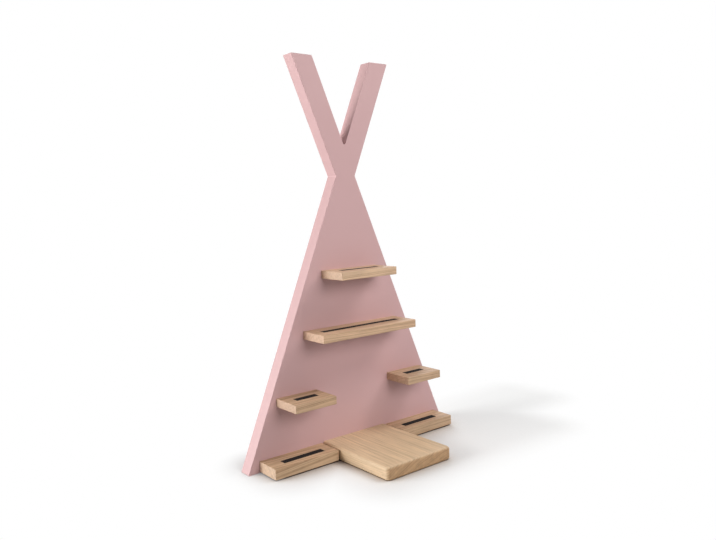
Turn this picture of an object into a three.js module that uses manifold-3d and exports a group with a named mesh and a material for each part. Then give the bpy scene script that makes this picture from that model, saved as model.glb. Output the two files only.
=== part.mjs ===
// Tent-shaped children's wall shelf. A lacquered fibreboard panel is cut like two crossed poles over
// a tent; small oak shelves with inlaid steel strips and an oak platform are screwed on from behind.
// Millimetres. X runs along the wall, Y towards the wall, Z up. The origin is on the floor, at the
// middle of the part's box. Left and right are as seen from the front.
import * as THREE from 'three';
import { mergeVertices } from 'three/addons/utils/BufferGeometryUtils.js';
import Module from 'manifold-3d';

const wasm = await Module();
wasm.setup();

// The panel: its sides lean inwards, cross at the waist and run on as the two poles
const panelHeight = 690;
const panelFootWidth = 446;
const panelThickness = 25;
const sideLeanDegrees = 22.5;
const poleWidth = 38.8;
const panelEdgeRadius = 0.8;
const panelFaceCornerRadius = 0.2;
const panelCutterRadius = 3;

// The upper shelves share one board section, the foot shelves have a narrower and thicker one
const shelfDepth = 60;
const shelfThickness = 14;
const footShelfDepth = 50;
const footShelfThickness = 18;
const boardEdgeRadius = 0.8;
const boardFaceCornerRadius = 0.3;

// Heights are those of the shelf tops. Each shelf ends a margin inside the panel's leaning edge.
const topShelfHeight = 325;
const topShelfEdgeMargin = 27.4;
const middleShelfHeight = 224;
const middleShelfEdgeMargin = 26.2;
const sideShelfHeight = 118.5;
const sideShelfEdgeMargin = 9.9;
const sideShelfInnerEnd = 82;
const footShelfFloorGap = 2;
const footShelfEdgeMargin = 13.2;
const footShelfPlatformGap = 3;

// The platform at the foot, with rounded front corners and well rounded edges
const platformWidth = 143;
const platformDepth = 174;
const platformThickness = 22;
const platformFaceCornerRadius = 4;
const platformEdgeRadius = 4;

// Steel strips, glued into grooves in the shelf tops
const stripWidth = 13.5;
const stripThickness = 2;
const stripFromPanel = 29;
const stripInnerMargin = 19;
const footStripOuterMargin = 26.5;
const stripGlueGap = 0.1;
const stripSetDown = 0.2;
const stripSideClearance = 0.3;

// Countersunk wood screws, driven from the back of the panel
const shelfScrew = { length: 45, shankRadius: 1.75, headRadius: 3.5, tipLength: 5 };
const platformScrew = { length: 50, shankRadius: 2, headRadius: 4, tipLength: 6 };
const plateScrew = { length: 14, shankRadius: 1.4, headRadius: 2.8, tipLength: 3 };
const screwsPerShelf = 2;
const screwsPerPlatform = 3;
const screwEndMargin = 20;
const screwSetDown = 0.3;
const screwClearance = 0.2;
const screwHoleSpare = 1.5;
const screwHeadRim = 0.4;
const crossWidthShare = 0.28;
const crossLengthShare = 1.2;
const crossDepthShare = 0.45;

// Keyhole plates, let into the back for hanging the part on two wall screws
const plateHeight = 44;
const plateWidth = 18;
const plateThickness = 1.6;
const plateEdgeMargin = 15;
const plateAboveTopShelf = 55;
const plateClearance = 0.3;
const plateSetDown = 0.3;
const plateScrewSpacing = 33;
const keyholeHeadRadius = 4.75;
const keyholeSlotWidth = 5;
const keyholeRise = 9;
const wallScrewRoom = 1.75;
const wallScrewPocketDepth = 9;

// How far a cutting shape runs past the face that it cuts
const cutPast = 1;

// Facets on round shapes
const cornerFacets = 4;
const edgeFacets = 2;
const screwFacets = 16;
const pocketFacets = 8;

const leanTangent = Math.tan(THREE.MathUtils.degToRad(sideLeanDegrees));
const poleLevelWidth = poleWidth / Math.cos(THREE.MathUtils.degToRad(sideLeanDegrees));
const frontToBack = platformDepth + panelThickness;

// Half the width of the panel's body at a height
function halfWidthAt(height) {
  return panelFootWidth / 2 - height * leanTangent;
}

function finish(color, roughness, metalness) {
  return new THREE.MeshStandardMaterial({ color, roughness, metalness });
}

const pinkLacquer = () => finish(0xd6b0ae, 0.5, 0);
const oiledOak = () => finish(0xcdab80, 0.6, 0);
const blackSteel = () => finish(0x1b1a1a, 0.45, 0.6);
const zincSteel = () => finish(0xb9bcc0, 0.35, 1);

// A closed three.js geometry as a solid, without the doubled corners and the empty triangles at poles
function solidOf(geometry) {
  const bare = geometry.clone();
  bare.deleteAttribute('normal');
  bare.deleteAttribute('uv');
  const merged = mergeVertices(bare, 1e-5);
  const corners = merged.index.array;
  const triVerts = [];
  for (let i = 0; i < corners.length; i += 3) {
    const [a, b, c] = corners.slice(i, i + 3);
    if (a !== b && b !== c && c !== a) {
      triVerts.push(a, b, c);
    }
  }
  return new wasm.Manifold(new wasm.Mesh({
    numProp: 3,
    vertProperties: new Float32Array(merged.attributes.position.array),
    triVerts: new Uint32Array(triVerts),
  }));
}

function meshOf(name, solid, material) {
  const { vertProperties, triVerts } = solid.getMesh();
  const geometry = new THREE.BufferGeometry();
  geometry.setAttribute('position', new THREE.BufferAttribute(new Float32Array(vertProperties), 3));
  geometry.setIndex(new THREE.BufferAttribute(new Uint32Array(triVerts), 1));
  geometry.computeVertexNormals();
  const mesh = new THREE.Mesh(geometry, material);
  mesh.name = name;
  return mesh;
}

// A closed outline through the given corners, each rounded by an arc of its own radius
function roundedOutline(corners) {
  const outline = new THREE.Shape();
  corners.forEach((corner, i) => {
    const at = new THREE.Vector2(corner.x, corner.y);
    const before = corners.at(i - 1);
    const after = corners[(i + 1) % corners.length];
    const back = new THREE.Vector2(before.x, before.y).sub(at).normalize();
    const on = new THREE.Vector2(after.x, after.y).sub(at).normalize();
    const turn = back.cross(on);
    const halfAngle = back.angleTo(on) / 2;
    const reach = corner.radius / Math.tan(halfAngle);
    const start = back.clone().multiplyScalar(reach).add(at);
    if (i === 0) {
      outline.moveTo(start.x, start.y);
    } else {
      outline.lineTo(start.x, start.y);
    }
    if (corner.radius > 0) {
      const inwards = back.clone().add(on).normalize();
      const centre = inwards.multiplyScalar(corner.radius / Math.sin(halfAngle)).add(at);
      const end = on.clone().multiplyScalar(reach).add(at);
      const startAngle = Math.atan2(start.y - centre.y, start.x - centre.x);
      const endAngle = Math.atan2(end.y - centre.y, end.x - centre.x);
      outline.absarc(centre.x, centre.y, corner.radius, startAngle, endAngle, turn > 0);
    }
  });
  return outline;
}

// A board of the outline, lying on z = 0, with its upper and lower edges rounded inside its size
function board(outline, thickness, edgeRadius) {
  const geometry = new THREE.ExtrudeGeometry(outline, {
    depth: thickness - 2 * edgeRadius,
    bevelThickness: edgeRadius,
    bevelSize: edgeRadius,
    bevelOffset: -edgeRadius,
    bevelSegments: edgeFacets,
    curveSegments: cornerFacets,
  });
  return geometry.translate(0, 0, edgeRadius);
}

// Turns a board so that its outline stands upright, front face at y = 0 and back face at its thickness
function standUp(geometry) {
  return geometry.rotateX(Math.PI / 2).rotateZ(Math.PI);
}

// A screw's outline, to be turned about the Y axis, head towards +Y with its flat top at y = 0. The
// hole that it goes into is the same shape, wider by the margin, deeper by the spare length and
// running past the head's top.
function screwProfile({ length, shankRadius, headRadius, tipLength }, margin, spare, past) {
  const shank = shankRadius + margin;
  const head = headRadius + margin;
  return [
    new THREE.Vector2(0, -length - spare),
    new THREE.Vector2(shank, -length - spare + tipLength),
    new THREE.Vector2(shank, shank - head - screwHeadRim),
    new THREE.Vector2(head, -screwHeadRim),
    new THREE.Vector2(head, past),
    new THREE.Vector2(0, past),
  ];
}

function crossRecess({ headRadius }) {
  const long = headRadius * crossLengthShare;
  const wide = headRadius * crossWidthShare;
  const deep = headRadius * crossDepthShare;
  const arms = [new THREE.BoxGeometry(long, 2 * deep, wide), new THREE.BoxGeometry(wide, 2 * deep, long)];
  return solidOf(arms[0]).add(solidOf(arms[1]));
}

function screwBody(size) {
  const profile = screwProfile(size, 0, 0, 0);
  return solidOf(new THREE.LatheGeometry(profile, screwFacets)).subtract(crossRecess(size));
}

function screwHole(size) {
  const profile = screwProfile(size, screwClearance, screwHoleSpare, screwSetDown + cutPast);
  return solidOf(new THREE.LatheGeometry(profile, screwFacets));
}

// Every screw, with its place: x and z in the panel, y of its head's flat top
const screws = [];

function placeScrew(name, size, x, y, z) {
  screws.push({ name, size, x, y, z });
}

function cutScrewHoles(solid) {
  return screws.reduce(
    (left, { size, x, y, z }) => left.subtract(screwHole(size).translate([x, y, z])),
    solid,
  );
}

function placeScrewRow(name, size, count, centre, length, height) {
  const span = length - 2 * screwEndMargin;
  for (let i = 0; i < count; i += 1) {
    const x = centre - span / 2 + (span * i) / (count - 1);
    placeScrew(`${name}_screw_${i + 1}`, size, x, panelThickness - screwSetDown, height);
  }
}

// The small shelves: one at the top, one in the middle, a left and a right one in the two lower rows
const upperBoard = {
  depth: shelfDepth,
  thickness: shelfThickness,
  stripOuterMargin: stripInnerMargin,
};
const footBoard = {
  depth: footShelfDepth,
  thickness: footShelfThickness,
  stripOuterMargin: footStripOuterMargin,
};

function centredShelf(name, section, topHeight, edgeMargin) {
  return { name, ...section, topHeight, centre: 0, length: 2 * (halfWidthAt(topHeight) - edgeMargin) };
}

function pairedShelf(name, section, topHeight, edgeMargin, innerEnd) {
  const outerEnd = halfWidthAt(topHeight) - edgeMargin;
  return [['left', -1], ['right', 1]].map(([side, sign]) => ({
    name: `${name}_${side}`,
    ...section,
    topHeight,
    centre: (sign * (innerEnd + outerEnd)) / 2,
    length: outerEnd - innerEnd,
  }));
}

const shelves = [
  centredShelf('top_shelf', upperBoard, topShelfHeight, topShelfEdgeMargin),
  centredShelf('middle_shelf', upperBoard, middleShelfHeight, middleShelfEdgeMargin),
  ...pairedShelf('side_shelf', upperBoard, sideShelfHeight, sideShelfEdgeMargin, sideShelfInnerEnd),
  ...pairedShelf('foot_shelf', footBoard, footShelfFloorGap + footShelfThickness, footShelfEdgeMargin,
    platformWidth / 2 + footShelfPlatformGap),
];
for (const shelf of shelves) {
  placeScrewRow(shelf.name, shelfScrew, screwsPerShelf, shelf.centre, shelf.length,
    shelf.topHeight - shelf.thickness / 2);
}
placeScrewRow('base_platform', platformScrew, screwsPerPlatform, 0, platformWidth, platformThickness / 2);

const plateCentreHeight = topShelfHeight + plateAboveTopShelf;
const plateFromMiddle = halfWidthAt(plateCentreHeight + plateHeight / 2) - plateEdgeMargin - plateWidth / 2;
const plates = [['left', -1], ['right', 1]].map(([side, sign]) => ({
  name: `hanger_plate_${side}`,
  x: sign * plateFromMiddle,
}));
for (const { name, x } of plates) {
  for (const [end, sign] of [['upper', 1], ['lower', -1]]) {
    placeScrew(`${name}_screw_${end}`, plateScrew, x, panelThickness - plateSetDown,
      plateCentreHeight + (sign * plateScrewSpacing) / 2);
  }
}

// An upright slot with round ends, about the origin
function slotOutline(width, height) {
  const radius = width / 2;
  const outline = new THREE.Shape();
  outline.absarc(0, height / 2 - radius, radius, 0, Math.PI, false);
  outline.absarc(0, radius - height / 2, radius, Math.PI, 2 * Math.PI, false);
  return outline;
}

// A slot-shaped block that reaches from the panel's back face to the given depth, and past the face
function backPocket(width, height, depth) {
  const geometry = new THREE.ExtrudeGeometry(slotOutline(width, height), {
    depth: depth + cutPast,
    bevelEnabled: false,
    curveSegments: pocketFacets,
  });
  return solidOf(standUp(geometry)).translate([0, panelThickness - depth, 0]);
}

const keyholeHeight = keyholeHeadRadius + keyholeRise + keyholeSlotWidth / 2;

function panel() {
  const halfFoot = panelFootWidth / 2;
  const waistHeight = (panelFootWidth - poleLevelWidth) / (2 * leanTangent);
  const notchHeight = halfFoot / leanTangent;
  const poleInnerEnd = -halfWidthAt(panelHeight);
  const poleOuterEnd = poleInnerEnd + poleLevelWidth;
  const cornerRadius = panelFaceCornerRadius + panelEdgeRadius;
  const rightSide = [
    { x: halfFoot, y: 0, radius: cornerRadius },
    { x: poleLevelWidth / 2, y: waistHeight, radius: panelCutterRadius },
    { x: poleOuterEnd, y: panelHeight, radius: cornerRadius },
    { x: poleInnerEnd, y: panelHeight, radius: cornerRadius },
  ];
  const leftSide = rightSide.toReversed().map((corner) => ({ ...corner, x: -corner.x }));
  const notch = { x: 0, y: notchHeight, radius: panelCutterRadius };
  const outline = roundedOutline([...rightSide, notch, ...leftSide]);
  let solid = solidOf(standUp(board(outline, panelThickness, panelEdgeRadius)));
  const roomWidth = 2 * (keyholeHeadRadius + wallScrewRoom);
  for (const { x } of plates) {
    const recess = backPocket(plateWidth + 2 * plateClearance, plateHeight + 2 * plateClearance,
      plateThickness + plateSetDown);
    const room = backPocket(roomWidth, keyholeHeight + 2 * wallScrewRoom, wallScrewPocketDepth);
    solid = solid.subtract(recess.add(room).translate([x, 0, plateCentreHeight]));
  }
  return meshOf('back_panel', cutScrewHoles(solid), pinkLacquer());
}

function hangerPlate({ name, x }) {
  const blank = new THREE.ExtrudeGeometry(slotOutline(plateWidth, plateHeight), {
    depth: plateThickness,
    bevelEnabled: false,
    curveSegments: pocketFacets,
  });
  const headHole = new THREE.Shape().absarc(0, 0, keyholeHeadRadius, 0, 2 * Math.PI);
  const slot = slotOutline(keyholeSlotWidth, keyholeRise + keyholeSlotWidth);
  const cut = { depth: plateThickness + 2 * cutPast, bevelEnabled: false, curveSegments: pocketFacets };
  const headHoleHeight = keyholeHeadRadius - keyholeHeight / 2;
  const keyhole = solidOf(standUp(new THREE.ExtrudeGeometry(headHole, cut)))
    .translate([0, -cutPast, headHoleHeight])
    .add(solidOf(standUp(new THREE.ExtrudeGeometry(slot, cut)))
      .translate([0, -cutPast, headHoleHeight + keyholeRise / 2]));
  const seat = panelThickness - plateSetDown - plateThickness;
  const solid = solidOf(standUp(blank)).subtract(keyhole).translate([x, seat, plateCentreHeight]);
  return meshOf(name, cutScrewHoles(solid), zincSteel());
}

// A plank from the panel's front face outwards, with its edges and its two front corners rounded
function plank(width, depth, thickness, faceCornerRadius, edgeRadius) {
  const cornerRadius = faceCornerRadius + edgeRadius;
  const outline = roundedOutline([
    { x: -width / 2, y: 0, radius: 0 },
    { x: -width / 2, y: -depth, radius: cornerRadius },
    { x: width / 2, y: -depth, radius: cornerRadius },
    { x: width / 2, y: 0, radius: 0 },
  ]);
  return solidOf(board(outline, thickness, edgeRadius));
}

function stripPlace({ length, depth, centre, stripOuterMargin }) {
  const outward = Math.sign(centre);
  const stripLength = length - stripInnerMargin - stripOuterMargin;
  return {
    stripLength,
    x: centre + (outward * (stripInnerMargin - stripOuterMargin)) / 2,
    y: -Math.min(stripFromPanel, depth - stripWidth),
  };
}

function shelf(row) {
  const { stripLength, x, y } = stripPlace(row);
  const grooveDepth = stripThickness + stripGlueGap + stripSetDown;
  const groove = new THREE.BoxGeometry(
    stripLength + 2 * stripSideClearance,
    stripWidth + 2 * stripSideClearance,
    2 * grooveDepth,
  );
  const solid = plank(row.length, row.depth, row.thickness, boardFaceCornerRadius, boardEdgeRadius)
    .translate([row.centre, 0, row.topHeight - row.thickness])
    .subtract(solidOf(groove).translate([x, y, row.topHeight]));
  return meshOf(row.name, cutScrewHoles(solid), oiledOak());
}

function steelStrip(row) {
  const { stripLength, x, y } = stripPlace(row);
  const strip = new THREE.BoxGeometry(stripLength, stripWidth, stripThickness);
  const height = row.topHeight - stripSetDown - stripThickness / 2;
  return meshOf(`${row.name}_steel_strip`, solidOf(strip).translate([x, y, height]), blackSteel());
}

// The platform's back edges stay square, where it meets the panel
function platform() {
  const solid = plank(platformWidth, platformDepth + platformEdgeRadius, platformThickness,
    platformFaceCornerRadius, platformEdgeRadius)
    .translate([0, platformEdgeRadius, 0])
    .trimByPlane([0, -1, 0], 0);
  return meshOf('base_platform', cutScrewHoles(solid), oiledOak());
}

function screw({ name, size, x, y, z }) {
  return meshOf(name, screwBody(size).translate([x, y, z]), zincSteel());
}

const group = new THREE.Group();
group.position.y = frontToBack / 2 - panelThickness;
group.add(panel(), platform());
group.add(...shelves.map(shelf), ...shelves.map(steelStrip));
group.add(...plates.map(hangerPlate));
group.add(...screws.map(screw));

export default group;
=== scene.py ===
"""Tent-shaped children's wall shelf: a lacquered back panel that carries oak shelves with inlaid
steel strips and an oak platform. Metres, X along the wall, Y towards the wall, Z up.
"""
import math

import bmesh
import bpy
from mathutils import Matrix, Vector


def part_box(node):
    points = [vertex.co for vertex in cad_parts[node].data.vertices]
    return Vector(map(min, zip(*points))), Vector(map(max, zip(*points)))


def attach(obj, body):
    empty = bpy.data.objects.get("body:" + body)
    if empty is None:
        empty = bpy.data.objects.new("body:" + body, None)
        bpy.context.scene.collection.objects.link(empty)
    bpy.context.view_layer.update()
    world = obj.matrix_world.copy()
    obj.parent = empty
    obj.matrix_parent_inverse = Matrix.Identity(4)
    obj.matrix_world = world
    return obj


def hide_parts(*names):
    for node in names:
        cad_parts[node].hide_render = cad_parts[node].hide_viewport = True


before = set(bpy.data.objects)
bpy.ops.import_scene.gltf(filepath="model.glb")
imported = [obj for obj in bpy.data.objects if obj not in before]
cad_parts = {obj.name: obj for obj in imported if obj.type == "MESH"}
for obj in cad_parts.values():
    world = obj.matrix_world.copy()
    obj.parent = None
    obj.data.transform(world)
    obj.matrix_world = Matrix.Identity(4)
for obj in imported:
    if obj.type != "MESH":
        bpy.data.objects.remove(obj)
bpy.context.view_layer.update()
MM = 0.001


# Back panel
# One sheet of 25 mm fibreboard, routed to the outline of a tent whose two poles cross above the
# ridge. Its edges are eased with a small rounding bit and it is sprayed all over in satin pink
# lacquer. The shelves are screwed to it from behind, through countersunk holes.
PANEL_LEAN_ANGLE = math.radians(22.5)
PANEL_LEAN = math.tan(PANEL_LEAN_ANGLE)
PANEL_HALF_FOOT = 223.0 * MM
POLE_LEVEL_WIDTH = 38.8 * MM / math.cos(PANEL_LEAN_ANGLE)
PANEL_CUTTER_RADIUS = 3.0 * MM
PANEL_CORNER_RADIUS = 1.1 * MM
PANEL_CORNER_STEPS = 6
PANEL_EASING = 0.8 * MM
PANEL_EASING_STEPS = 4
HOLE_CLEARANCE = 0.2 * MM
HOLE_SPARE = 1.5 * MM
HOLE_STEPS = 32
HEAD_RIM = 0.4 * MM
RIM_EASING = 0.35 * MM
RIM_EASING_MIDDLE = 0.3 * RIM_EASING
SCREW_SET_DOWN = 0.3 * MM
SCREW_TIP_SHARE = 1 / 8
HANGER_PLATES = ("hanger_plate_left", "hanger_plate_right")
PLATE_CLEARANCE = 0.3 * MM
KEYHOLE_HEAD_RADIUS = 4.75 * MM
KEYHOLE_SLOT_WIDTH = 5.0 * MM
KEYHOLE_RISE = 9.0 * MM
KEYHOLE_HEIGHT = KEYHOLE_HEAD_RADIUS + KEYHOLE_RISE + KEYHOLE_SLOT_WIDTH / 2
WALL_SCREW_ROOM = 1.75 * MM
WALL_SCREW_POCKET = 9.0 * MM
SLOT_STEPS = 48
CUTTER_SPARE = 1.0 * MM
SAME_POINT = 0.001 * MM
SHARP_FROM = math.radians(35)
NOISE_LOW = 0.3
NOISE_HIGH = 0.7
LACQUER_PINK = (0.582, 0.362, 0.361)
LACQUER_PINK_THIN = (0.598, 0.378, 0.376)


def as_object(bm, name):
    """The finished bmesh as an object at the origin, faces outwards."""
    bmesh.ops.remove_doubles(bm, verts=bm.verts, dist=SAME_POINT)
    bmesh.ops.recalc_face_normals(bm, faces=bm.faces)
    mesh = bpy.data.meshes.new(name)
    bm.to_mesh(mesh)
    bm.free()
    made = bpy.data.objects.new(name, mesh)
    bpy.context.scene.collection.objects.link(made)
    return made


def cut_out(piece, cutter):
    """Takes the cutter's shape out of the piece."""
    saw = piece.modifiers.new("saw", "BOOLEAN")
    saw.operation = "DIFFERENCE"
    saw.solver = "EXACT"
    saw.object = cutter
    seen = piece.evaluated_get(bpy.context.evaluated_depsgraph_get())
    shaped = bpy.data.meshes.new_from_object(seen)
    piece.modifiers.clear()
    piece.data = shaped
    bpy.data.objects.remove(cutter)
    bm = bmesh.new()
    bm.from_mesh(shaped)
    bmesh.ops.remove_doubles(bm, verts=bm.verts, dist=SAME_POINT)
    bmesh.ops.dissolve_degenerate(bm, edges=bm.edges, dist=SAME_POINT)
    bm.to_mesh(shaped)
    bm.free()


def dress(piece, material, slot, *nodes):
    """Gives the piece its finish in its nodes' place, flat faces flat and rounded edges smooth."""
    piece.data.materials.clear()
    piece.data.materials.append(material)
    piece.data.shade_smooth()
    piece.data.set_sharp_from_angle(angle=SHARP_FROM)
    even = piece.modifiers.new("even_shading", "WEIGHTED_NORMAL")
    even.keep_sharp = True
    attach(piece, "root")
    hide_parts(*nodes)


def draw_out(bm, faces, depth):
    """Draws the faces out along Y by the depth and returns the points of their new place."""
    grown = bmesh.ops.extrude_face_region(bm, geom=faces)["geom"]
    points = [v for v in grown if isinstance(v, bmesh.types.BMVert)]
    bmesh.ops.translate(bm, verts=points, vec=(0, depth, 0))
    return points


def ease(bm, edges, offset, steps):
    """Rounds the edges, starting that far to either side of them."""
    bmesh.ops.bevel(bm, geom=edges, offset=offset, offset_type="OFFSET", affect="EDGES",
                    segments=steps, profile=0.5, material=-1, clamp_overlap=False)


def lies_on_wall(face):
    """Whether the face lies flat along the wall."""
    return abs(face.normal.y) > 0.99


def turn_profile(bm, profile, centre, steps):
    """Turns an outline of (radius, y) points about an axis along Y through the centre."""
    points = [bm.verts.new((centre.x + radius, centre.y + y, centre.z)) for radius, y in profile]
    lines = [bm.edges.new(pair) for pair in zip(points, points[1:])]
    bmesh.ops.spin(bm, geom=points + lines, cent=centre, axis=(0, 1, 0), angle=2 * math.pi,
                   steps=steps, use_merge=True, use_duplicate=False)
    bmesh.ops.remove_doubles(bm, verts=bm.verts, dist=SAME_POINT)


def slot_block(centre, width, height, front, back):
    """An upright block with round ends, from one depth to another."""
    bm = bmesh.new()
    disc = bmesh.ops.create_circle(bm, cap_ends=True, segments=SLOT_STEPS,
                                   radius=width / 2)["verts"]
    bmesh.ops.rotate(bm, verts=disc, matrix=Matrix.Rotation(math.pi / SLOT_STEPS, 3, "Z"))
    bmesh.ops.rotate(bm, verts=disc, matrix=Matrix.Rotation(math.pi / 2, 3, "X"))
    for half in (1, -1):
        end = [v for v in disc if v.co.z * half > 0]
        bmesh.ops.translate(bm, verts=end, vec=(0, 0, half * (height - width) / 2))
    bmesh.ops.translate(bm, verts=disc, vec=(centre.x, front, centre.z))
    draw_out(bm, disc[0].link_faces[:], back - front)
    return bm


def screw_sizes(name):
    """Head's flat top, head radius and length of the screw of that name."""
    low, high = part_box(name)
    middle = (low + high) / 2
    return Vector((middle.x, high.y, middle.z)), (high.x - low.x) / 2, high.y - low.y


def screw_holes(names):
    """Countersunk holes for the screws, a little wider and deeper than they are, rims eased."""
    bm = bmesh.new()
    for name in names:
        top, head, length = screw_sizes(name)
        shank = head / 2 + HOLE_CLEARANCE
        mouth = head + HOLE_CLEARANCE
        bottom = -length - HOLE_SPARE
        rim = SCREW_SET_DOWN
        profile = [(0, bottom), (shank, bottom + SCREW_TIP_SHARE * length),
                   (shank, shank - mouth - HEAD_RIM), (mouth, -HEAD_RIM), (mouth, rim - RIM_EASING),
                   (mouth + RIM_EASING_MIDDLE, rim - RIM_EASING_MIDDLE), (mouth + RIM_EASING, rim),
                   (mouth + RIM_EASING, rim + CUTTER_SPARE), (0, rim + CUTTER_SPARE)]
        turn_profile(bm, profile, top, HOLE_STEPS)
    return as_object(bm, "screw_holes")


def panel_corners():
    """The tent's outline from the right foot round to the left one: x, z and corner radius."""
    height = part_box("back_panel")[1].z
    waist = (PANEL_HALF_FOOT - POLE_LEVEL_WIDTH / 2) / PANEL_LEAN
    notch = PANEL_HALF_FOOT / PANEL_LEAN
    pole_in = height * PANEL_LEAN - PANEL_HALF_FOOT
    right = [(PANEL_HALF_FOOT, 0, PANEL_CORNER_RADIUS),
             (POLE_LEVEL_WIDTH / 2, waist, PANEL_CUTTER_RADIUS),
             (pole_in + POLE_LEVEL_WIDTH, height, PANEL_CORNER_RADIUS),
             (pole_in, height, PANEL_CORNER_RADIUS)]
    left = [(-x, z, radius) for x, z, radius in reversed(right)]
    return right + [(0, notch, PANEL_CUTTER_RADIUS)] + left


def round_corner(bm, x, z, radius):
    """Rounds the edge that runs through the sheet at x, z."""
    edge = next(e for e in bm.edges if all(
        math.dist((v.co.x, v.co.z), (x, z)) < SAME_POINT for v in e.verts))
    across = math.pi - edge.calc_face_angle()
    ease(bm, [edge], radius / math.tan(across / 2), PANEL_CORNER_STEPS)


panel_low, panel_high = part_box("back_panel")
bm = bmesh.new()
sheet = bm.faces.new([bm.verts.new((x, panel_low.y, z)) for x, z, _ in panel_corners()])
draw_out(bm, [sheet], panel_high.y - panel_low.y)
bmesh.ops.recalc_face_normals(bm, faces=bm.faces)
for x, z, radius in panel_corners():
    round_corner(bm, x, z, radius)
outer_edges = [e for e in bm.edges
               if abs(e.verts[0].co.y - e.verts[1].co.y) < SAME_POINT
               and any(lies_on_wall(f) for f in e.link_faces)]
ease(bm, outer_edges, PANEL_EASING, PANEL_EASING_STEPS)
panel = as_object(bm, "back_panel_lacquered")

screw_names = sorted(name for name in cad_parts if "_screw_" in name)
cut_out(panel, screw_holes(screw_names))
for plate in HANGER_PLATES:
    low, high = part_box(plate)
    centre = (low + high) / 2
    back = panel_high.y + CUTTER_SPARE
    recess = slot_block(centre, high.x - low.x + 2 * PLATE_CLEARANCE,
                        high.z - low.z + 2 * PLATE_CLEARANCE, low.y, back)
    cut_out(panel, as_object(recess, "plate_recess"))
    room = slot_block(centre, 2 * (KEYHOLE_HEAD_RADIUS + WALL_SCREW_ROOM),
                      KEYHOLE_HEIGHT + 2 * WALL_SCREW_ROOM, panel_high.y - WALL_SCREW_POCKET, back)
    cut_out(panel, as_object(room, "wall_screw_room"))


def add_node(tree, kind, inputs=None, **settings):
    """A node with its settings and inputs; an input is a value or the socket that feeds it."""
    node = tree.nodes.new(kind)
    for name, value in settings.items():
        setattr(node, name, value)
    for name, value in (inputs or {}).items():
        if isinstance(value, bpy.types.NodeSocket):
            tree.links.new(value, node.inputs[name])
        else:
            node.inputs[name].default_value = value
    return node


def new_finish(name, **shader_inputs):
    """A material with its shader and the object's own coordinates."""
    material = bpy.data.materials.new(name)
    material.use_nodes = True
    tree = material.node_tree
    shader = tree.nodes["Principled BSDF"]
    for socket, value in shader_inputs.items():
        shader.inputs[socket.replace("_", " ")].default_value = value
    place = add_node(tree, "ShaderNodeTexCoord").outputs["Object"]
    return material, tree, shader, place


def noise(tree, place, scale, detail, roughness=0.5):
    """Noise of that scale per metre."""
    return add_node(tree, "ShaderNodeTexNoise", {
        "Vector": place, "Scale": scale, "Detail": detail, "Roughness": roughness}).outputs["Fac"]


def rescale(tree, value, start, end, low, high):
    """A value that goes from start to end, brought to the range from low to high and kept there."""
    return add_node(tree, "ShaderNodeMapRange", {
        "Value": value, "From Min": start, "From Max": end, "To Min": low,
        "To Max": high}).outputs["Result"]


def spread(tree, value, low, high):
    """A noise value, which seldom leaves its middle range, spread over the one from low to high."""
    return rescale(tree, value, NOISE_LOW, NOISE_HIGH, low, high)


def tones(tree, factor, *stops):
    """A colour ramp through (position, colour) stops."""
    node = add_node(tree, "ShaderNodeValToRGB", {"Fac": factor})
    ramp = node.color_ramp
    while len(ramp.elements) < len(stops):
        ramp.elements.new(0.5)
    for element, (position, colour) in zip(ramp.elements, stops):
        element.position = position
        element.color = (*colour, 1)
    return node.outputs["Color"]


def coat(tree, shader, colour, roughness, relief, strength, depth):
    """Feeds the shader its colour, its roughness and a relief of that strength and depth."""
    skin = add_node(tree, "ShaderNodeBump", {"Height": relief, "Strength": strength,
                                             "Distance": depth})
    tree.links.new(colour, shader.inputs["Base Color"])
    tree.links.new(roughness, shader.inputs["Roughness"])
    tree.links.new(skin.outputs["Normal"], shader.inputs["Normal"])


lacquer, tree, shader, place = new_finish("satin_pink_lacquer")
spray_drift = noise(tree, place, 9.0, 3.0)
orange_peel = noise(tree, place, 620.0, 2.0, 0.45)
pink = tones(tree, spray_drift, (NOISE_LOW, LACQUER_PINK), (NOISE_HIGH, LACQUER_PINK_THIN))
coat(tree, shader, pink, spread(tree, orange_peel, 0.44, 0.50), orange_peel, 0.05, 0.1 * MM)
dress(panel, lacquer, "pink_lacquer", "back_panel")


# Oak shelves
# Six small boards of solid oak, sawn with the grain along their length, sanded, edges broken and
# oiled matt. A shallow groove milled in each top takes a steel strip. The lowest two are thicker
# and less deep than the rest.
BOARD_EDGE = 0.8 * MM
BOARD_CORNER = 1.1 * MM
BOARD_STEPS = 3
GROOVE_CLEARANCE = 0.3 * MM
GROOVE_DEPTH = 2.3 * MM
GROOVE_EDGE = 0.15 * MM
RING_WIDTH = 3.6 * MM
RING_WANDER = 1.6 * MM
TRUNK_TAPER = 0.02
PORE_DARKNESS = 0.30
PORE_DENT = 0.5
OAK_EARLY = (0.330, 0.188, 0.096)
OAK_MIDDLE = (0.545, 0.352, 0.212)
OAK_LIGHT = (0.680, 0.456, 0.292)
OAK_LATE = (0.600, 0.392, 0.243)


def block(low, high):
    """A square-edged block between two corners."""
    bm = bmesh.new()
    bmesh.ops.create_cube(bm, size=1.0)
    bmesh.ops.scale(bm, vec=high - low, verts=bm.verts)
    bmesh.ops.translate(bm, vec=(low + high) / 2, verts=bm.verts)
    return bm


def oak_board(name, corner_radius, edge_radius, steps):
    """A plank in the node's place, its edges and its two front corners rounded and its back edges
    square, where it is screwed against the panel."""
    low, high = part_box(name)
    bm = block(low, high)
    front = [e for e in bm.edges if all(v.co.y < low.y + SAME_POINT for v in e.verts)
             and abs(e.verts[0].co.x - e.verts[1].co.x) < SAME_POINT]
    ease(bm, front, corner_radius, 2 * steps)
    level = [e for e in bm.edges if abs(e.verts[0].co.z - e.verts[1].co.z) < SAME_POINT
             and any(v.co.y < high.y - SAME_POINT for v in e.verts)]
    ease(bm, level, edge_radius, steps)
    return as_object(bm, f"{name}_oak")


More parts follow.
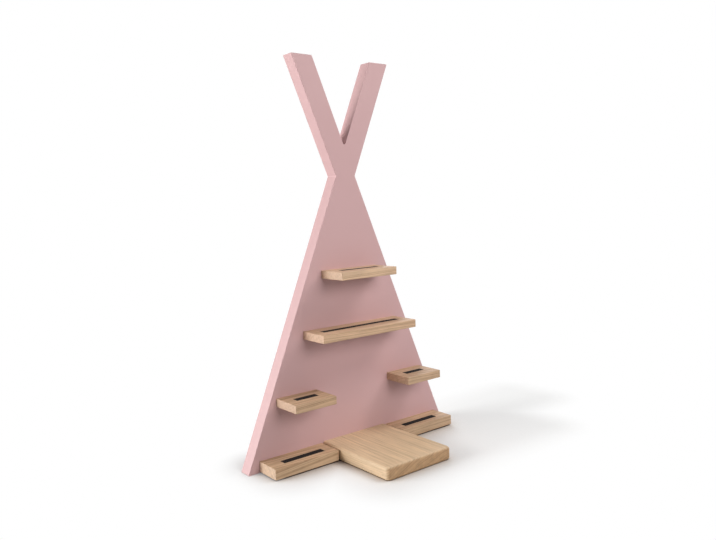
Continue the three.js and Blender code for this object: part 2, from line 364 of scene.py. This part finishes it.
def groove_shape(strip, top):
    """The block that the cutter clears for the strip, with eased upper edges."""
    low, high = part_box(strip)
    low = Vector((low.x - GROOVE_CLEARANCE, low.y - GROOVE_CLEARANCE, top - GROOVE_DEPTH))
    high = Vector((high.x + GROOVE_CLEARANCE, high.y + GROOVE_CLEARANCE, top - GROOVE_EDGE))
    bm = block(low, high)
    upper = max(bm.faces, key=lambda f: f.calc_center_median().z)
    for rise, out in ((GROOVE_EDGE, GROOVE_EDGE), (CUTTER_SPARE, 0)):
        upper = bmesh.ops.extrude_discrete_faces(bm, faces=[upper])["faces"][0]
        bmesh.ops.translate(bm, verts=upper.verts, vec=(0, 0, rise))
        middle = upper.calc_center_median()
        for v in upper.verts:
            v.co.x += math.copysign(out, v.co.x - middle.x)
            v.co.y += math.copysign(out, v.co.y - middle.y)
    return as_object(bm, "groove")


def maths(tree, operation, a, b=0.0):
    """What the operation makes of one or two values."""
    return add_node(tree, "ShaderNodeMath", {0: a, 1: b}, operation=operation).outputs["Value"]


def vector_maths(tree, operation, a, b=(0, 0, 0)):
    """What the operation makes of one or two vectors."""
    return add_node(tree, "ShaderNodeVectorMath", {0: a, 1: b},
                    operation=operation).outputs["Vector"]


def vector_length(tree, vector):
    """How long the vector is."""
    return add_node(tree, "ShaderNodeVectorMath", {0: vector}, operation="LENGTH").outputs["Value"]


def mix(tree, share, first, second):
    """A colour between two, at that share of the way; 6, 7 and 2 are the node's colour sockets."""
    return add_node(tree, "ShaderNodeMix", {0: share, 6: first, 7: second},
                    data_type="RGBA").outputs[2]


def oak_figure():
    """Solid oak as a three-dimensional figure, with the grain along X: growth rings about the
    tree's heart, uneven in width and tone, fine fibres, and open pores that show as dashes along
    the grain and dots across it."""
    tree = bpy.data.node_groups.new("oak_figure", "ShaderNodeTree")
    for socket, way, kind in (("Place", "INPUT", "NodeSocketVector"),
                              ("Ring Strength", "INPUT", "NodeSocketFloat"),
                              ("Colour", "OUTPUT", "NodeSocketColor"),
                              ("Roughness", "OUTPUT", "NodeSocketFloat"),
                              ("Height", "OUTPUT", "NodeSocketFloat")):
        tree.interface.new_socket(socket, in_out=way, socket_type=kind)
    given = add_node(tree, "NodeGroupInput").outputs

    def along_grain(along, across):
        """The place, squeezed so that what is drawn on it runs long along the grain."""
        return vector_maths(tree, "MULTIPLY", given["Place"], (along, across, across))

    def streaks(along, across, detail, roughness=0.5):
        """Noise of those scales per metre along and across the grain."""
        return noise(tree, along_grain(along, across), 1.0, detail, roughness)

    from_heart = vector_length(tree, along_grain(TRUNK_TAPER, 1.0))
    wander = spread(tree, streaks(4.0, 30.0, 2.0), -RING_WANDER, RING_WANDER)
    age = maths(tree, "DIVIDE", maths(tree, "ADD", from_heart, wander), RING_WIDTH)
    seasons = add_node(tree, "ShaderNodeTexNoise", {"W": age, "Scale": 0.6, "Detail": 1.0},
                       noise_dimensions="1D").outputs["Fac"]
    age = maths(tree, "ADD", age, spread(tree, seasons, -0.6, 0.6))
    growth = maths(tree, "FRACT", age)
    vigour = add_node(tree, "ShaderNodeTexWhiteNoise", {"W": maths(tree, "FLOOR", age)},
                      noise_dimensions="1D").outputs["Value"]
    vigour = rescale(tree, vigour, 0.0, 1.0, 0.35, 1.0)
    broad = streaks(7.0, 260.0, 2.0)
    patches = streaks(22.0, 75.0, 1.0)
    fibre = streaks(16.0, 900.0, 3.0, 0.6)
    fine_fibre = streaks(45.0, 2600.0, 2.0)
    pores = rescale(tree, streaks(120.0, 2100.0, 1.0), 0.60, 0.68, 0.0, 1.0)
    early = rescale(tree, growth, 0.1, 0.4, 1.0, 0.2)
    pores = maths(tree, "MULTIPLY", pores, early)
    ring = tones(tree, growth, (0.0, OAK_EARLY), (0.22, OAK_MIDDLE), (0.48, OAK_LIGHT),
                 (0.82, OAK_LATE), (1.0, OAK_EARLY))
    drawn = maths(tree, "MULTIPLY", vigour, given["Ring Strength"])
    wood = mix(tree, drawn, (*OAK_LIGHT, 1), ring)
    shade = maths(tree, "SUBTRACT", 1.0, maths(tree, "MULTIPLY", pores, PORE_DARKNESS))
    for streak, reach in ((broad, 0.09), (fibre, 0.08), (patches, 0.07), (fine_fibre, 0.05)):
        shade = maths(tree, "ADD", shade, spread(tree, streak, -reach, reach))
    shaded = add_node(tree, "ShaderNodeVectorMath", {0: wood, "Scale": shade}, operation="SCALE")
    height = maths(tree, "SUBTRACT", spread(tree, fibre, 0.35, 0.65),
                   maths(tree, "MULTIPLY", pores, PORE_DENT))
    add_node(tree, "NodeGroupOutput", {
        "Colour": shaded.outputs["Vector"], "Roughness": spread(tree, fibre, 0.62, 0.52),
        "Height": height})
    return tree


oak = oak_figure()


def oak_finish(name, heart, turned, long_tint_and_light, end_tint_and_light, rings, end_rings):
    """Matt oiled oak for one board. heart is where the tree's heart lies from the board's middle,
    in millimetres, and turned how the board's length lies to the grain, in degrees about X, Y and
    Z. The long faces and the ends take tints of their own, partly the oil sinking in deeper at the
    ends and partly painted light and shade, each face made lighter or darker for how brightly it is
    lit; rings and end_rings are how strongly the growth rings show on the long faces and on the
    ends."""
    low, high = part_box(name)
    material, tree, shader, place = new_finish(f"{name}_oiled_oak")
    lay = [math.radians(t) for t in turned]
    centred = vector_maths(tree, "SUBTRACT", place, (low + high) / 2)
    laid = add_node(tree, "ShaderNodeMapping", {
        "Vector": centred, "Location": [-MM * c for c in heart], "Rotation": lay},
        vector_type="POINT").outputs["Vector"]
    facing = add_node(tree, "ShaderNodeTexCoord").outputs["Normal"]
    to_grain = add_node(tree, "ShaderNodeMapping", {"Vector": facing, "Rotation": lay},
                        vector_type="VECTOR").outputs["Vector"]
    lengthwise = add_node(tree, "ShaderNodeSeparateXYZ", {"Vector": to_grain}).outputs["X"]
    end = rescale(tree, maths(tree, "ABSOLUTE", lengthwise), 0.3, 0.9, 0.0, 1.0)
    figure = add_node(tree, "ShaderNodeGroup", {
        "Place": laid, "Ring Strength": rescale(tree, end, 0.0, 1.0, rings, end_rings)},
        node_tree=oak).outputs
    # the tints are partly the oil, deeper at the ends, and partly painted light and shade: each
    # face lighter or darker for how brightly it is lit
    oil_and_light_tint = mix(tree, end, (*long_tint_and_light, 1), (*end_tint_and_light, 1))
    coat(tree, shader, vector_maths(tree, "MULTIPLY", figure["Colour"], oil_and_light_tint),
         figure["Roughness"], figure["Height"], 0.35, 0.12 * MM)
    return material


# name, the tree's heart from the board's middle in mm (along, across, up), lay of the grain in
# degrees, tint of the long faces and of the ends, partly oil and partly painted light and shade,
# strength of the rings on both
boards = [
    ("top_shelf", (400, 38, -60), (0, 1.2, 0.8),
     (0.95, 0.97, 0.98), (0.76, 0.77, 0.81), 0.8, 0.35),
    ("middle_shelf", (-900, -55, -80), (0, -0.8, 1.1),
     (0.90, 0.89, 0.88), (0.80, 0.79, 0.84), 1.0, 0.35),
    ("side_shelf_left", (1300, 25, 70), (0, 1.0, -1.5),
     (0.82, 0.81, 0.78), (0.78, 0.79, 0.85), 1.1, 0.5),
    ("side_shelf_right", (-1700, -30, -75), (0, -1.3, 0.9),
     (0.83, 0.83, 0.82), (0.88, 0.90, 0.94), 0.9, 0.5),
    ("foot_shelf_left", (2100, 48, -52), (0, 0.9, 1.3),
     (0.87, 0.87, 0.83), (0.92, 0.98, 1.06), 1.3, 0.7),
    ("foot_shelf_right", (-2500, -42, 66), (0, -1.1, -0.7),
     (0.87, 0.87, 0.85), (0.96, 1.02, 1.08), 1.0, 0.7),
]
for name, *figure in boards:
    board = oak_board(name, BOARD_CORNER, BOARD_EDGE, BOARD_STEPS)
    cut_out(board, groove_shape(f"{name}_steel_strip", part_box(name)[1].z))
    cut_out(board, screw_holes([s for s in screw_names if s.startswith(f"{name}_screw")]))
    dress(board, oak_finish(name, *figure), "oak", name)


# Platform
# A thicker oak plank at the foot, on the floor, with its grain running out from the wall, round
# front corners and softly rounded edges. Three long screws through the panel hold it.
PLATFORM_CORNER = 8.0 * MM
PLATFORM_EDGE = 4.0 * MM
PLATFORM_STEPS = 6

platform = oak_board("base_platform", PLATFORM_CORNER, PLATFORM_EDGE, PLATFORM_STEPS)
cut_out(platform, screw_holes([s for s in screw_names if s.startswith("base_platform")]))
# the platform's long faces are tinted lighter and its ends darker, partly the oil and partly
# painted light and shade
dress(platform, oak_finish("base_platform", (3000, 110, -300), (0, 1.0, 91.0),
                           (1.03, 1.12, 1.11), (0.73, 0.67, 0.55), 0.4, 1.0),
      "oak", "base_platform")


# Steel strips
# A flat bar of mild steel in each shelf, sawn to length, coated matt black and glued into its
# groove a hair below the wood, where it holds anything with a magnet in its base.
STRIP_EDGE = 0.12 * MM
STRIP_STEPS = 2
COATING_BLACK = (0.007, 0.006, 0.006)
COATING_WORN = (0.014, 0.013, 0.013)

coated, tree, shader, place = new_finish("matt_black_steel", Specular_IOR_Level=0.15)
texture = noise(tree, place, 2400.0, 2.0)
wear = noise(tree, place, 160.0, 4.0)
coat(tree, shader, tones(tree, wear, (0.35, COATING_BLACK), (0.75, COATING_WORN)),
     spread(tree, wear, 0.70, 0.85), texture, 0.2, 0.03 * MM)
for name, *_ in boards:
    bm = block(*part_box(f"{name}_steel_strip"))
    ease(bm, bm.edges, STRIP_EDGE, STRIP_STEPS)
    dress(as_object(bm, f"{name}_strip_coated"), coated, "black_steel", f"{name}_steel_strip")


# Hanger plates
# Two stamped keyhole plates of zinc-plated steel, let flush into the back and each held by two
# small countersunk screws. A wall screw's head goes in at the round hole and slides up the slot.
PLATE_EDGE = 0.2 * MM
PLATE_STEPS = 2
ZINC_BLUISH = (0.50, 0.52, 0.55)
ZINC_WARM = (0.64, 0.64, 0.63)

zinc, tree, shader, place = new_finish("zinc_plated_steel", Metallic=1.0)
spangle = add_node(tree, "ShaderNodeTexVoronoi", {"Vector": place, "Scale": 420.0})
drawn_long = vector_maths(tree, "MULTIPLY", place, (3000.0, 3000.0, 120.0))
rolling_lines = noise(tree, drawn_long, 1.0, 2.0)
cast = noise(tree, place, 110.0, 3.0)
dullness = maths(tree, "ADD", spread(tree, rolling_lines, 0.24, 0.38),
                 spread(tree, spangle.outputs["Distance"], 0.0, 0.05))
coat(tree, shader, tones(tree, cast, (NOISE_LOW, ZINC_BLUISH), (NOISE_HIGH, ZINC_WARM)),
     dullness, rolling_lines, 0.15, 0.02 * MM)

for plate in HANGER_PLATES:
    low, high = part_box(plate)
    centre = (low + high) / 2
    bm = slot_block(centre, high.x - low.x, high.z - low.z, low.y, high.y)
    bmesh.ops.recalc_face_normals(bm, faces=bm.faces)
    rims = [e for e in bm.edges if any(lies_on_wall(f) for f in e.link_faces)]
    ease(bm, rims, PLATE_EDGE, PLATE_STEPS)
    blank = as_object(bm, f"{plate}_zinc")
    hole_height = centre.z + KEYHOLE_HEAD_RADIUS - KEYHOLE_HEIGHT / 2
    for width, height, z in (
            (2 * KEYHOLE_HEAD_RADIUS, 2 * KEYHOLE_HEAD_RADIUS + SAME_POINT, hole_height),
            (KEYHOLE_SLOT_WIDTH, KEYHOLE_RISE + KEYHOLE_SLOT_WIDTH,
             hole_height + KEYHOLE_RISE / 2)):
        punch = slot_block(Vector((centre.x, 0, z)), width, height,
                           low.y - CUTTER_SPARE, high.y + CUTTER_SPARE)
        cut_out(blank, as_object(punch, "keyhole"))
    cut_out(blank, screw_holes([s for s in screw_names if s.startswith(plate)]))
    dress(blank, zinc, "zinc_steel", plate)


# Screws
# Countersunk cross-head wood screws of zinc-plated steel: two to a shelf, three to the platform and
# two small ones to a hanger plate. The thread is rolled into the shank below the head.
HEAD_EASING = 0.15 * MM
HEAD_EASING_MIDDLE = 0.04 * MM
LONG_SCREW = 20.0 * MM
LONG_PLAIN_SHARE = 0.12
SHORT_PLAIN = 0.6 * MM
THREAD_RUN_IN = 0.3 * MM
THREAD_STEPS = 24
RINGS_PER_TURN = 6
# the thread's core, its pitch and the least size of its point as shares of the shank's radius, and
# half its ridge as a share of a turn
THREAD_CORE = 0.72
THREAD_PITCH = 0.9
THREAD_POINT = 0.08
THREAD_RIDGE = 0.30
# the driver's reach, half its arm's width and its depth as shares of the head's radius, and its
# taper
DRIVER_REACH = 0.6
DRIVER_ARM = 0.14
DRIVER_DEPTH = 0.45
DRIVER_TAPER = 0.62
DRIVER_SPARE = 0.5 * MM


def roll_thread(bm, top, shank, pitch, thread_from, length):
    """Presses a pointed thread into the shank, from that far below the head's top to the tip."""
    core = THREAD_CORE * shank
    for v in bm.verts:
        along = v.co.y - top.y
        if along > thread_from + SAME_POINT or along < -length + SAME_POINT:
            continue
        out = Vector((v.co.x - top.x, 0, v.co.z - top.z))
        turn = (math.atan2(out.z, out.x) / (2 * math.pi) - along / pitch) % 1
        ridge = max(0.0, 1 - abs(turn - 0.5) / THREAD_RIDGE)
        point = min(1.0, (along + length) / (SCREW_TIP_SHARE * length) + THREAD_POINT)
        radius = point * (core + (shank - core) * ridge)
        v.co = Vector((top.x, v.co.y, top.z)) + out.normalized() * radius


def cross_driver(top, head):
    """The tip of the cross-head driver that presses the recess, tapering inwards."""
    bm = bmesh.new()
    cells = bmesh.ops.create_grid(bm, x_segments=3, y_segments=3,
                                  size=DRIVER_REACH * head)["verts"]
    bmesh.ops.rotate(bm, verts=cells, matrix=Matrix.Rotation(math.pi / 2, 3, "X"))
    halfway = DRIVER_REACH * head / 2
    for v in cells:
        for axis in (0, 2):
            if abs(v.co[axis]) < halfway:
                v.co[axis] = math.copysign(DRIVER_ARM * head, v.co[axis])
    corners = [f for f in bm.faces
               if all(abs(f.calc_center_median()[axis]) > halfway for axis in (0, 2))]
    bmesh.ops.delete(bm, geom=corners, context="FACES")
    bmesh.ops.translate(bm, verts=bm.verts, vec=(top.x, top.y + DRIVER_SPARE, top.z))
    tip = draw_out(bm, bm.faces[:], -DRIVER_DEPTH * head - DRIVER_SPARE)
    bmesh.ops.scale(bm, verts=tip, vec=(DRIVER_TAPER, 1, DRIVER_TAPER),
                    space=Matrix.Translation(-Vector((top.x, 0, top.z))))
    return as_object(bm, "driver")


for name in screw_names:
    top, head, length = screw_sizes(name)
    shank = head / 2
    pitch = THREAD_PITCH * shank
    neck = shank - head - HEAD_RIM
    thread_from = neck - (LONG_PLAIN_SHARE * length if length > LONG_SCREW else SHORT_PLAIN)
    rings = int((length + thread_from) / pitch * RINGS_PER_TURN)
    ring_ys = [thread_from - (length + thread_from) * i / rings for i in range(rings)]
    profile = [(0, 0), (head - HEAD_EASING, 0), (head - HEAD_EASING_MIDDLE, -HEAD_EASING_MIDDLE),
               (head, -HEAD_EASING), (head, -HEAD_RIM), (shank, neck),
               (shank, thread_from + THREAD_RUN_IN)]
    profile += [(shank, y) for y in ring_ys] + [(0, -length)]
    bm = bmesh.new()
    turn_profile(bm, profile, top, THREAD_STEPS)
    roll_thread(bm, top, shank, pitch, thread_from, length)
    screw = as_object(bm, f"{name}_zinc")
    cut_out(screw, cross_driver(top, head))
    dress(screw, zinc, "zinc_steel", name)


# Studio
# A white table that fades to white away from the object; close under and beside the object its
# colour is darkened into a painted contact shade. Soft light comes low from the left and from
# behind it, weaker from the front, the right and the back. The camera stands low on the left.
LAMP_AIM = Vector((0, 0, 0.3))
LAMP_DISTANCE = 2.6
ROOM_GLOW = 0.07
TABLE_HALF_SIZE = 6.0
TABLE_WHITE = (0.88, 0.88, 0.875)
TABLE_WHITE_LIGHT = (0.90, 0.90, 0.895)
TABLE_UNSEEN = (0.4, 0.4, 0.4)
# the painted contact shade on the table: how far out it reaches, and its darkest and softest
# colours
PAINTED_SHADE_REACH = 0.12
PAINTED_SHADE_DARK = (0.09, 0.05, 0.035)
PAINTED_SHADE_SOFT = (0.70, 0.63, 0.58)
FADE_WIDTH = 0.10


def soft_lamp(name, azimuth, elevation, size, power):
    """A round soft lamp that shines on the object from that side, 0 from the front and 90 from
    the right."""
    towards = Matrix.Rotation(math.radians(azimuth), 3, "Z") @ Matrix.Rotation(
        math.radians(-elevation), 3, "X") @ Vector((0, -1, 0))
    light = bpy.data.lights.new(name, "AREA")
    light.shape = "DISK"
    light.size = size
    light.energy = power
    lamp = bpy.data.objects.new(name, light)
    lamp.location = LAMP_AIM + LAMP_DISTANCE * towards
    lamp.rotation_mode = "QUATERNION"
    lamp.rotation_quaternion = (-towards).to_track_quat("-Z", "Y")
    bpy.context.scene.collection.objects.link(lamp)


# azimuth and elevation in degrees, size in metres and power in watts
soft_lamp("left_lamp", -102, 9, 0.8, 24)
soft_lamp("back_left_lamp", -120, 8, 1.4, 50)
soft_lamp("front_lamp", 0, 22, 1.4, 35)
soft_lamp("right_lamp", 60, 45, 1.4, 36)
soft_lamp("back_right_lamp", 150, 25, 1.4, 20)


def is_looked_at(tree):
    """1 for what the camera sees, straight, mirrored or through glass, 0 for light on its way."""
    rays = add_node(tree, "ShaderNodeLightPath").outputs
    straight = maths(tree, "MAXIMUM", rays["Is Camera Ray"], rays["Is Glossy Ray"])
    return maths(tree, "MAXIMUM", straight, rays["Is Transmission Ray"])


world = bpy.data.worlds.new("white_room")
bpy.context.scene.world = world
world.use_nodes = True
tree = world.node_tree
background = tree.nodes["Background"]
background.inputs["Color"].default_value = (1, 1, 1, 1)
tree.links.new(rescale(tree, is_looked_at(tree), 0.0, 1.0, ROOM_GLOW, 1.0),
               background.inputs["Strength"])

bm = bmesh.new()
bmesh.ops.create_grid(bm, x_segments=1, y_segments=1, size=TABLE_HALF_SIZE)
floor = as_object(bm, "table_top")
table, tree, shader, place = new_finish("white_table", Roughness=0.7)
looked_at = is_looked_at(tree)
paint = tones(tree, noise(tree, place, 300.0, 3.0),
              (NOISE_LOW, TABLE_WHITE), (NOISE_HIGH, TABLE_WHITE_LIGHT))
# painted contact shade: the table's colour is darkened where the object closes in over it, close
# under and beside it
openness = add_node(tree, "ShaderNodeAmbientOcclusion", {"Distance": PAINTED_SHADE_REACH}, samples=12)
painted_contact_shade = tones(tree, openness.outputs["AO"], (0.20, PAINTED_SHADE_DARK), (0.54, PAINTED_SHADE_SOFT),
                (0.93, (1.0, 1.0, 1.0)))
tone = mix(tree, looked_at, (*TABLE_UNSEEN, 1), vector_maths(tree, "MULTIPLY", paint, painted_contact_shade))
tree.links.new(tone, shader.inputs["Base Color"])


def clear_of(middle, half_size):
    """How far a place on the table lies from a block that stands on it."""
    to_middle = vector_maths(tree, "ABSOLUTE", vector_maths(tree, "SUBTRACT", place, middle))
    beyond = vector_maths(tree, "SUBTRACT", to_middle, half_size)
    return vector_length(tree, vector_maths(tree, "MAXIMUM", beyond))


# the ground under the panel and the shelves, and under the platform, both longer on the right,
# where the soft shadow falls
clear = maths(tree, "MINIMUM", clear_of((0.15, 0.062, 0), (0.32, 0.0375, 0)),
              clear_of((0.125, -0.0125, 0), (0.195, 0.087, 0)))
distance = add_node(tree, "ShaderNodeMapRange", {"Value": clear, "From Max": FADE_WIDTH},
                    interpolation_type="SMOOTHSTEP").outputs["Result"]
white = add_node(tree, "ShaderNodeEmission", {"Color": (1, 1, 1, 1), "Strength": 1.0})
faded = add_node(tree, "ShaderNodeMixShader", {
    0: maths(tree, "MULTIPLY", distance, looked_at), 1: shader.outputs["BSDF"],
    2: white.outputs["Emission"]})
tree.links.new(faded.outputs["Shader"], tree.nodes["Material Output"].inputs["Surface"])
floor.data.materials.append(table)

CAMERA_PLACE = (-0.7580, -0.9015, 0.4428)
CAMERA_YAW = -38.59
CAMERA_PITCH = -5.68
CAMERA_ROLL = -1.97

lens = bpy.data.cameras.new("camera")
lens.sensor_width = 36.0
lens.lens = 34.86
lens.clip_start = 0.01
camera = bpy.data.objects.new("camera", lens)
camera.matrix_world = (
    Matrix.Translation(CAMERA_PLACE)
    @ Matrix.Rotation(math.radians(CAMERA_YAW), 4, "Z")
    @ Matrix.Rotation(math.radians(90 + CAMERA_PITCH), 4, "X")
    @ Matrix.Rotation(math.radians(CAMERA_ROLL), 4, "Z"))
bpy.context.scene.collection.objects.link(camera)
bpy.context.scene.camera = camera
bpy.context.scene.view_settings.view_transform = "Standard"
